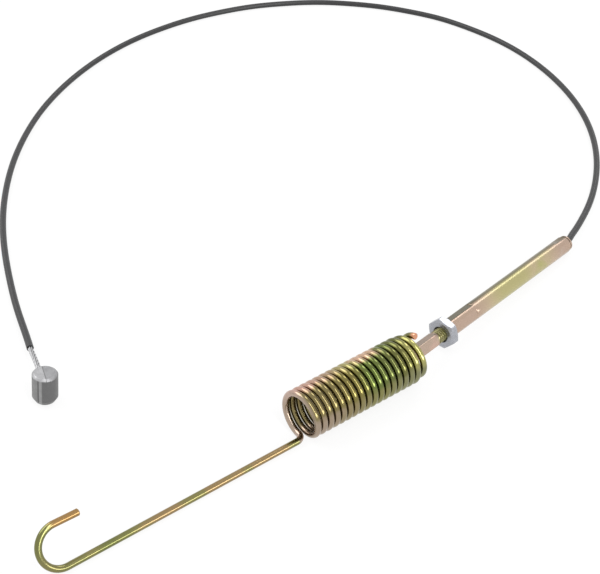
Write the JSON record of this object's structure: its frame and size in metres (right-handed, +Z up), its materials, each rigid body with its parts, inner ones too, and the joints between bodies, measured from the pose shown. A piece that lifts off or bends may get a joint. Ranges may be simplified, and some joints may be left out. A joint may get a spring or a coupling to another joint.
{
  "type": "mower drive cable",
  "caption": "Coated wire rope with a cast barrel end, a screw adjuster sleeve with jam nut, and a tension spring with a long arm and hook, for a mower's drive control.",
  "frame": {"origin": "on the floor under the middle of the stiff pieces (spring, stud, nut, sleeve and stop)", "axes": "+X along the coil spring from the hook towards the adjuster, +Z up, +Y towards the cable's loop"},
  "size_m": [0.4288, 0.3478, 0.0225],
  "materials": {
    "spring_wire": "yellow zinc plating with olive and pink sheen",
    "stud_steel": "yellow zinc plating, tan to pink",
    "nut_steel": "clear zinc plating, bright",
    "sleeve_steel": "yellow zinc plating, tan with olive patches",
    "stop_steel": "plain, dull",
    "rope_steel": "galvanised strands",
    "coating_plastic": "satin black",
    "cast_zinc": null
  },
  "bodies": {
    "spring": {"spring_hook": "spring_wire"},
    "stud": {"adjuster_stud": "stud_steel"},
    "nut": {"jam_nut": "nut_steel"},
    "cable": {"cable_stop": "stop_steel", "wire_rope": "rope_steel", "cable_coating": "coating_plastic", "end_fitting": "cast_zinc"},
    "sleeve": {"adjuster_sleeve": "sleeve_steel"}
  },
  "joints": [
    {"name": "spring_stretch", "type": "slide", "parent": "spring", "child": "stud", "axis": [1, 0, 0], "range_m": [0, 0.025], "stiffness_N_per_m": 5600, "deforming": ["spring_hook"]},
    {"name": "adjuster_travel", "type": "slide", "parent": "stud", "child": "cable", "axis": [0.9816, 0.1837, -0.0516], "range_m": [0, 0.01524]},
    {"name": "adjuster_turn", "type": "hinge", "parent": "cable", "child": "sleeve", "pos_m": [0.0261, -0.00813, 0.0107], "axis": [0.9816, 0.1837, -0.0516], "range_deg": [0, 4320]},
    {"name": "jam_nut_travel", "type": "slide", "parent": "stud", "child": "nut", "axis": [0.9816, 0.1837, -0.0516], "range_m": [0, 0.01524]}
  ],
  "couplings": [
    {"joint": "adjuster_turn", "follows": "adjuster_travel", "rad_per_m": 4947.4},
    {"joint": "jam_nut_travel", "follows": "adjuster_travel", "ratio": 1}
  ]
}
